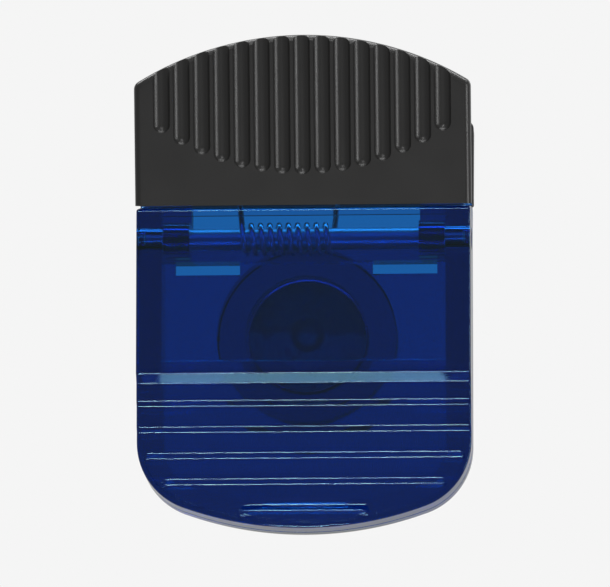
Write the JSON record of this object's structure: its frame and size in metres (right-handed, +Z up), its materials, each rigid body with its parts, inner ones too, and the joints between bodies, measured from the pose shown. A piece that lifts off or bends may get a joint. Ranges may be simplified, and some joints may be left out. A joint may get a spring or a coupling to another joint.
{
  "type": "magnetic paper clip",
  "caption": "Hand-squeezed paper clip: see-through jaws on a sprung hinge pin, fluted rubber thumb grips and a round magnet on the back.",
  "frame": {"origin": "middle of the magnet's back face", "axes": "+Z up towards the thumb grips, +Y out of the back, the way the magnet faces, front towards -Y"},
  "size_m": [0.06, 0.0279, 0.088],
  "materials": {
    "blue_plastic": "clear tinted, polished",
    "grip_rubber": "matte",
    "pin_steel": "drawn",
    "spring_steel": "drawn wire",
    "magnet_plating": "nickel plated",
    "glue": "cured adhesive"
  },
  "bodies": {
    "rear_half": {"rear_jaw": "blue_plastic", "rear_grip": "grip_rubber", "hinge_pin": "pin_steel", "torsion_spring": "spring_steel", "magnet": "magnet_plating", "magnet_glue": "glue"},
    "front_half": {"front_jaw": "blue_plastic", "front_grip": "grip_rubber"}
  },
  "joints": [
    {"name": "jaw_hinge", "type": "hinge", "parent": "rear_half", "child": "front_half", "pos_m": [0, -0.0156, 0.0164], "axis": [-1, 0, 0], "range_deg": [0, 22], "stiffness_Nm_per_rad": 0.065, "springref_deg": -114.59, "deforming": ["torsion_spring"]}
  ]
}
